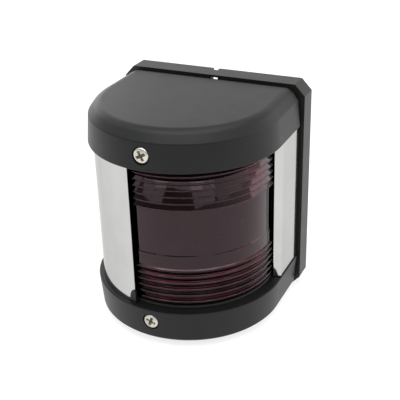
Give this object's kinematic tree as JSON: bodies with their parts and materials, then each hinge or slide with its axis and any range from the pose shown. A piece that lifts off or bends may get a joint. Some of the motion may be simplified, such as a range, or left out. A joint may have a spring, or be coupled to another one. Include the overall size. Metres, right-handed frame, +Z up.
{
  "type": "navigation light",
  "caption": "Small-craft port side navigation light: D-shaped black housing, ribbed red lens, polished side shields, chamfered back plate for a bulkhead.",
  "frame": {"origin": "centre of the back plate's rear face, which lies on the bulkhead", "axes": "+X to the right seen from the front, +Y into the bulkhead, +Z up; the light shines towards -Y and +X"},
  "size_m": [0.075, 0.0672, 0.0858],
  "materials": {
    "housing_black": "satin moulded plastic",
    "rubber_black": "matt",
    "carrier_black": "matt moulded plastic",
    "brass": "plain rolled or turned",
    "screw_steel": "bright stainless",
    "nylon_white": "natural nylon",
    "lead_red": "insulation",
    "lead_black": "insulation",
    "lens_red": "clear dark red",
    "polished_steel": "mirror polished",
    "bulb_glass": "clear",
    "nickel": "nickel plated",
    "tungsten": "drawn wire"
  },
  "bodies": {
    "base": {"back_plate": "housing_black", "cover_gasket": "rubber_black", "threaded_inserts": "brass", "cable_grommet": "rubber_black", "bulb_carrier": "carrier_black", "carrier_screws": "screw_steel", "upper_contact": "brass", "lower_contact": "brass", "contact_rivets": "brass", "terminal_block": "nylon_white", "terminal_barrels": "brass", "terminal_screws": "screw_steel", "terminal_block_screw": "screw_steel", "upper_lead": "lead_red", "lower_lead": "lead_black"},
    "cover": {"front_housing": "housing_black", "lens": "lens_red", "upper_lens_seal": "rubber_black", "lower_lens_seal": "rubber_black", "left_shield": "polished_steel", "right_shield": "polished_steel"},
    "upper_washer": {"upper_screw_washer": "nylon_white"},
    "upper_fixing": {"upper_screw": "screw_steel"},
    "lower_washer": {"lower_screw_washer": "nylon_white"},
    "lower_fixing": {"lower_screw": "screw_steel"},
    "bulb": {"bulb_glass": "bulb_glass", "bulb_caps": "nickel", "bulb_filament": "tungsten"}
  },
  "joints": [
    {"name": "cover_slide", "type": "slide", "parent": "base", "child": "cover", "axis": [0, -1, 0], "range_m": [0, 0.06]},
    {"name": "upper_screw_turn", "type": "hinge", "parent": "cover", "child": "upper_washer", "pos_m": [0, -0.0647, 0.033], "axis": [0, -1, 0], "range_deg": [0, 4690]},
    {"name": "upper_screw_travel", "type": "slide", "parent": "upper_washer", "child": "upper_fixing", "axis": [0, -1, 0], "range_m": [0, 0.0065]},
    {"name": "lower_screw_turn", "type": "hinge", "parent": "cover", "child": "lower_washer", "pos_m": [0, -0.0647, -0.033], "axis": [0, -1, 0], "range_deg": [0, 4690]},
    {"name": "lower_screw_travel", "type": "slide", "parent": "lower_washer", "child": "lower_fixing", "axis": [0, -1, 0], "range_m": [0, 0.0065]},
    {"name": "bulb_pull", "type": "slide", "parent": "base", "child": "bulb", "axis": [0, -1, 0], "range_m": [0, 0.009]}
  ],
  "couplings": [
    {"joint": "upper_screw_turn", "follows": "upper_screw_travel", "rad_per_m": 12566},
    {"joint": "lower_screw_turn", "follows": "lower_screw_travel", "rad_per_m": 12566}
  ]
}
